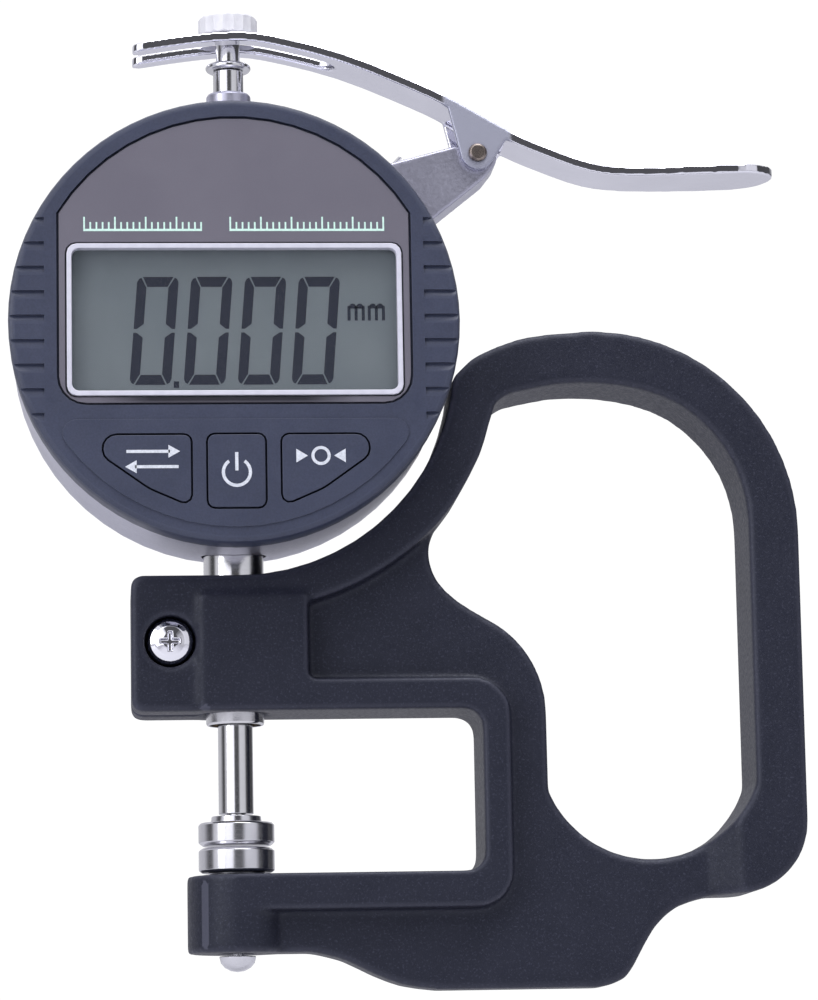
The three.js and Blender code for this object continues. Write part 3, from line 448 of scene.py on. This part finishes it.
# each CAD node's look, and how far its edges are broken
CRISP = {
    # display head
    "bezel": ("navy_plastic", 0.1),
    "face_panel": ("panel_plastic", 0.12),
    "window_trim": ("white_plastic", 0.1),
    "window_lens": ("window_clear", 0.08),
    "lcd_module": ("liquid_crystal", 0.08),
    "key_mat": ("silicone", 0.05),
    "display_board": ("circuit_board", 0.05),
    "head_plate": ("navy_plastic", 0.1),
    "hub_clip": ("polished_steel", 0.05),
    "unit_key": ("navy_plastic", 0.3),
    "power_key": ("navy_plastic", 0.3),
    "zero_key": ("navy_plastic", 0.3),
    # case
    "case_shell": ("case_metal", 0.15),
    "back_cover": ("case_metal", 0.2),
    "top_bush": ("case_metal", 0.1),
    "sensor_board": ("circuit_board", 0.05),
    "guide_rod": ("polished_steel", 0.1),
    "battery_holder": ("black_plastic", 0.08),
    "battery_contact": ("polished_steel", 0.04),
    "battery": ("polished_steel", 0.1),
    "battery_cap": ("black_plastic", 0.15),
    "pivot_pin": ("rivet", 0.06),
    # plunger line
    "stem": ("polished_steel", 0.08),
    "lower_stem_bush": ("bush_brass", 0.05),
    "upper_stem_bush": ("bush_brass", 0.05),
    "spindle": ("polished_steel", 0.08),
    "stop_collar": ("polished_steel", 0.08),
    "lift_knob": ("knob", 0.1),
    "scale_carriage": ("black_plastic", 0.15),
    "scale_strip": ("scale_glass", 0.05),
    "contact_point": ("turned_steel", 0.08),
    "anvil": ("turned_steel", 0.08),
    "anvil_screw": ("turned_steel", 0.05),
    **{screw: ("polished_steel", 0.05) for screw in SCREWS},
}
for node_name, (node_look, node_width) in CRISP.items():
    crisp(node_name, node_look, node_width)


# ---------------------------------------------------------------- spring


def return_spring():
    """Round-wire compression spring in the CAD spring's space."""
    turns, steps, sides = 8, 24, 8  # turns, and how finely a turn and the wire are cut
    wire = 0.35 * MM  # half the wire's thickness
    low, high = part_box("return_spring")
    radius = (high.x - low.x) / 2 - wire
    axis = (low + high) / 2
    mesh = bmesh.new()
    rings = []
    for i in range(turns * steps + 1):
        share = i / (turns * steps)
        angle = 2 * math.pi * turns * share
        outward = Vector((math.cos(angle), math.sin(angle), 0))
        z = low.z + wire + (high.z - low.z - 2 * wire) * share
        centre = Vector((axis.x, axis.y, z)) + outward * radius
        ring = []
        for k in range(sides):
            around = 2 * math.pi * k / sides
            aside = outward * math.cos(around) + Vector((0, 0, 1)) * math.sin(around)
            ring.append(mesh.verts.new(centre + aside * wire))
        rings.append(ring)
    for before, after in zip(rings, rings[1:]):
        for k in range(sides):
            mesh.faces.new((before[k], before[(k + 1) % sides], after[(k + 1) % sides], after[k]))
    mesh.faces.new(rings[0][::-1])
    mesh.faces.new(rings[-1])
    obj = piece("spring_wire", mesh)
    smooth(obj)
    paint(obj, "polished_steel")
    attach(obj, "root")
    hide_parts("return_spring")
    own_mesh(obj)


return_spring()


# ---------------------------------------------------------------- marks and prints


def marks(name, outlines, front, depth, look, body):
    """Thin closed shapes on a face: outlines of (x, z) in millimetres, standing out to y = front."""
    mesh = bmesh.new()
    for outline in outlines:
        faces = tessellate_polygon([[Vector((x, z, 0)) for x, z in outline]])
        ahead = [mesh.verts.new(mm(x, front, z)) for x, z in outline]
        behind = [mesh.verts.new(mm(x, front + depth, z)) for x, z in outline]
        for triangle in faces:
            mesh.faces.new([ahead[i] for i in triangle])
            mesh.faces.new([behind[i] for i in reversed(triangle)])
        for i in range(len(outline)):
            j = (i + 1) % len(outline)
            mesh.faces.new((ahead[i], behind[i], behind[j], ahead[j]))
    obj = piece(name, mesh)
    paint(obj, look)
    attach(obj, body)


def moved(outline, dx, dz):
    return [(x + dx, z + dz) for x, z in outline]


def bar(x0, x1, z0, z1):
    return [(x0, z0), (x1, z0), (x1, z1), (x0, z1)]


def ring_part(cx, cz, radius, width, start, end, steps=20):
    """Part of a ring between two angles in degrees."""
    angles = [math.radians(start + (end - start) * i / steps) for i in range(steps + 1)]

    def arc(r):
        return [(cx + r * math.cos(a), cz + r * math.sin(a)) for a in angles]

    return arc(radius + width / 2) + arc(radius - width / 2)[::-1]


# the readout, in the millimetres that mm() takes
LCD_FRONT = -15.1
DIGIT_W, DIGIT_H, SEGMENT, DIGIT_SLANT = 5.4, 14.3, 1.32, 1.15
DIGITS, DIGIT_LEFT, DIGIT_PITCH, DIGIT_FOOT = 4, -13.75, 7.02, 77.85
UNIT_LEFTS, UNIT_FOOT = (14.75, 17.4), 86.3
INK = 0.02  # thickness of segments and of print on the keys
INK_OUT = 0.03  # how far a printed face stands out
KEY_FRONT = -17.2


def nought(left):
    """Six lit segments of a seven-segment figure, leaning to the right."""
    w, h, t = DIGIT_W, DIGIT_H, SEGMENT
    cap = [(0.72, h), (w - 0.72, h), (w - t - 0.07, h - t), (t + 0.07, h - t)]
    side = [
        (0, h / 2 + 0.25), (0, h - 0.75), (0.22, h - 0.28), (0.52, h - 0.1), (t - 0.05, h - t - 0.12),
        (t - 0.05, h / 2 + 0.9), (0.42, h / 2 + 0.25),
    ]
    upper = [cap, side, [(w - x, z) for x, z in side]]
    lit = upper + [[(x, h - z) for x, z in outline] for outline in upper]
    return [[(left + x + DIGIT_SLANT * z / h, DIGIT_FOOT + z) for x, z in outline] for outline in lit]


def letter_m(left, foot):
    """The unit's letter, 2.3 mm high and as wide."""
    stems = [bar(x, x + 0.4, 0, 1.95) for x in (0, 0.93, 1.86)]
    arches = [[(x, 1.6), (x + 0.93, 1.6), (x + 0.93, 1.95), (x + 0.7, 2.25), (x + 0.3, 2.25), (x, 1.95)]
              for x in (0.2, 1.13)]
    return [moved(outline, left, foot) for outline in stems + arches]


def readout():
    figures = [outline for i in range(DIGITS) for outline in nought(DIGIT_LEFT + DIGIT_PITCH * i)]
    point = bar(-8.0, -7.3, 77.45, 78.3)
    unit = [outline for left in UNIT_LEFTS for outline in letter_m(left, UNIT_FOOT)]
    marks("readout", [*figures, point, *unit], LCD_FRONT - INK_OUT, INK, "segments", "display_head")


def key_icons():
    """Plain signs in place of the keys' lettering: change units, power, and set to zero."""

    def sign(key, outlines):
        marks(f"{key}_icon", outlines, KEY_FRONT - INK_OUT, INK, "key_print", key)

    sign("unit_key", [
        bar(-14.2, -8.6, 68.55, 68.95),
        bar(-13.1, -7.5, 66.55, 66.95),
        [(-8.8, 67.9), (-7.3, 68.75), (-8.8, 69.6)],
        [(-12.9, 65.9), (-12.9, 67.6), (-14.4, 66.75)],
    ])
    sign("power_key", [
        ring_part(0, 66.0, 1.75, 0.42, 125, 415),
        bar(-0.21, 0.21, 66.2, 68.6),
    ])
    sign("zero_key", [
        ring_part(10.9, 68.1, 1.05, 0.4, 0, 180),
        ring_part(10.9, 68.1, 1.05, 0.4, 180, 360),
        [(7.7, 67.2), (9.2, 68.1), (7.7, 69.0)],
        [(14.1, 67.2), (14.1, 69.0), (12.6, 68.1)],
    ])


def panel_scales():
    """Two plain tick scales in place of the label panel's lettering."""
    pitch, line = 0.8, 0.22  # from tick to tick, and a tick's width
    foot, base_top, short_top, long_top = 97.9, 98.2, 99.1, 99.8
    front = (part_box("face_panel")[0].y - AXIS.y) / MM
    for name, first, last in (("left_scale", -19.6, -4.4), ("right_scale", -0.6, 19.6)):
        count = round((last - first) / pitch)
        ticks = [
            bar(first + pitch * i, first + pitch * i + line, base_top, short_top if i % 5 else long_top)
            for i in range(count + 1)
        ]
        base = bar(first, first + pitch * count + line, foot, base_top)
        marks(name, [*ticks, base], front - 0.02, 0.015, "scale_print", "display_head")


readout()
key_icons()
panel_scales()


# ---------------------------------------------------------------- studio


def floor():
    """A pale floor below the picture, which lights the object from underneath."""
    reach, level = 3.0, -0.06
    mesh = bpy.data.meshes.new("floor")
    corners = [(x * reach, y * reach, level) for x, y in ((-1, -1), (1, -1), (1, 1), (-1, 1))]
    mesh.from_pydata(corners, [], [(0, 1, 2, 3)])
    plane = bpy.data.objects.new("floor", mesh)
    bpy.context.scene.collection.objects.link(plane)
    g = Graph("floor_look")
    g.set(Base_Color=g.ramp(g.noise(400, 2), [(0.3, (0.60, 0.60, 0.63)), (0.7, (0.64, 0.64, 0.67))]))
    g.set(Roughness=0.9)
    mesh.materials.append(g.material)


def surroundings():
    """White to the camera; to the object, a white room with dark screens that give metal its bands."""
    world = bpy.data.worlds.new("studio")
    bpy.context.scene.world = world
    world.use_nodes = True
    t = Tree(world.node_tree)
    t.tree.nodes.clear()
    sight = t.parts(t.add("ShaderNodeTexCoord").outputs["Generated"])
    # 0.5 straight behind the camera, 0.25 at -X, 0.75 at +X, 0 and 1 behind the object
    turn = t.maths("ARCTAN2", sight["X"], t.maths("MULTIPLY", sight["Y"], -1.0))
    around = t.maths("ADD", t.maths("DIVIDE", turn, 2 * math.pi), 0.5)
    bands = t.ramp(around, [
        (0.0, 0.85), (0.17, 0.75), (0.235, 0.10), (0.27, 0.10), (0.30, 0.95), (0.39, 0.85), (0.405, 1.9),
        (0.462, 1.9), (0.475, 0.12), (0.545, 0.10), (0.575, 1.0), (0.665, 0.9), (0.70, 0.08), (0.88, 0.10),
        (0.94, 0.85), (1.0, 0.85),
    ])
    overhead = t.ramp(sight["Z"], [(0.0, 0.0), (0.55, 0.0), (0.85, 1.0), (1.0, 1.0)], "EASE")
    room = t.mix(overhead, bands, (1.3, 1.3, 1.3))
    lit, seen = t.add("ShaderNodeBackground"), t.add("ShaderNodeBackground")
    t.feed(lit, "Color", t.mix(1.0, room, (0.97, 0.97, 1.03), "MULTIPLY"))
    t.feed(lit, "Strength", 0.85)
    t.feed(seen, "Color", (1, 1, 1, 1))
    t.feed(seen, "Strength", 1.05)
    choice = t.add("ShaderNodeMixShader")
    t.link(t.add("ShaderNodeLightPath").outputs["Is Camera Ray"], choice.inputs[0])
    t.link(lit.outputs[0], choice.inputs[1])
    t.link(seen.outputs[0], choice.inputs[2])
    t.link(choice.outputs[0], t.add("ShaderNodeOutputWorld").inputs[0])


def softbox(name, place, size, energy):
    """A rectangular light, size metres wide and high, facing the middle of the object."""
    data = bpy.data.lights.new(name, "AREA")
    data.shape = "RECTANGLE"
    data.size, data.size_y = size
    data.energy = energy
    light = bpy.data.objects.new(name, data)
    light.location = place
    light.rotation_mode = "QUATERNION"
    light.rotation_quaternion = (Vector((0, 0, 0.06)) - Vector(place)).to_track_quat("-Z", "Y")
    bpy.context.scene.collection.objects.link(light)


# fitted to the edges of the dial, the loop and the throat in the photograph
CAMERA_PLACE = mm(-17.17, -514.21, -14.44)
PAN, TILT, ROLL = (math.radians(degrees) for degrees in (4.53, 8.74, -1.03))
LENS, SENSOR = 140.4, 36


def camera():
    """At the photograph's viewing angle: a little below the object, looking up at it."""
    forward = Vector((math.sin(PAN) * math.cos(TILT), math.cos(PAN) * math.cos(TILT), math.sin(TILT)))
    level = Vector((math.cos(PAN), -math.sin(PAN), 0))
    above = level.cross(forward)
    right = level * math.cos(ROLL) + above * math.sin(ROLL)
    up = above * math.cos(ROLL) - level * math.sin(ROLL)
    data = bpy.data.cameras.new("camera")
    data.lens, data.sensor_width = LENS, SENSOR
    data.clip_start, data.clip_end = 0.01, 20
    made = bpy.data.objects.new("camera", data)
    turned = Matrix((right, up, -forward)).transposed().to_4x4()
    made.matrix_world = Matrix.Translation(CAMERA_PLACE) @ turned
    bpy.context.scene.collection.objects.link(made)
    bpy.context.scene.camera = made


floor()
surroundings()
softbox("top_box", (0.10, -0.25, 0.75), (0.5, 0.5), 4.0)
softbox("left_box", (-0.55, -0.45, 0.30), (0.25, 0.5), 1.6)
camera()
bpy.context.scene.view_settings.view_transform = "Standard"
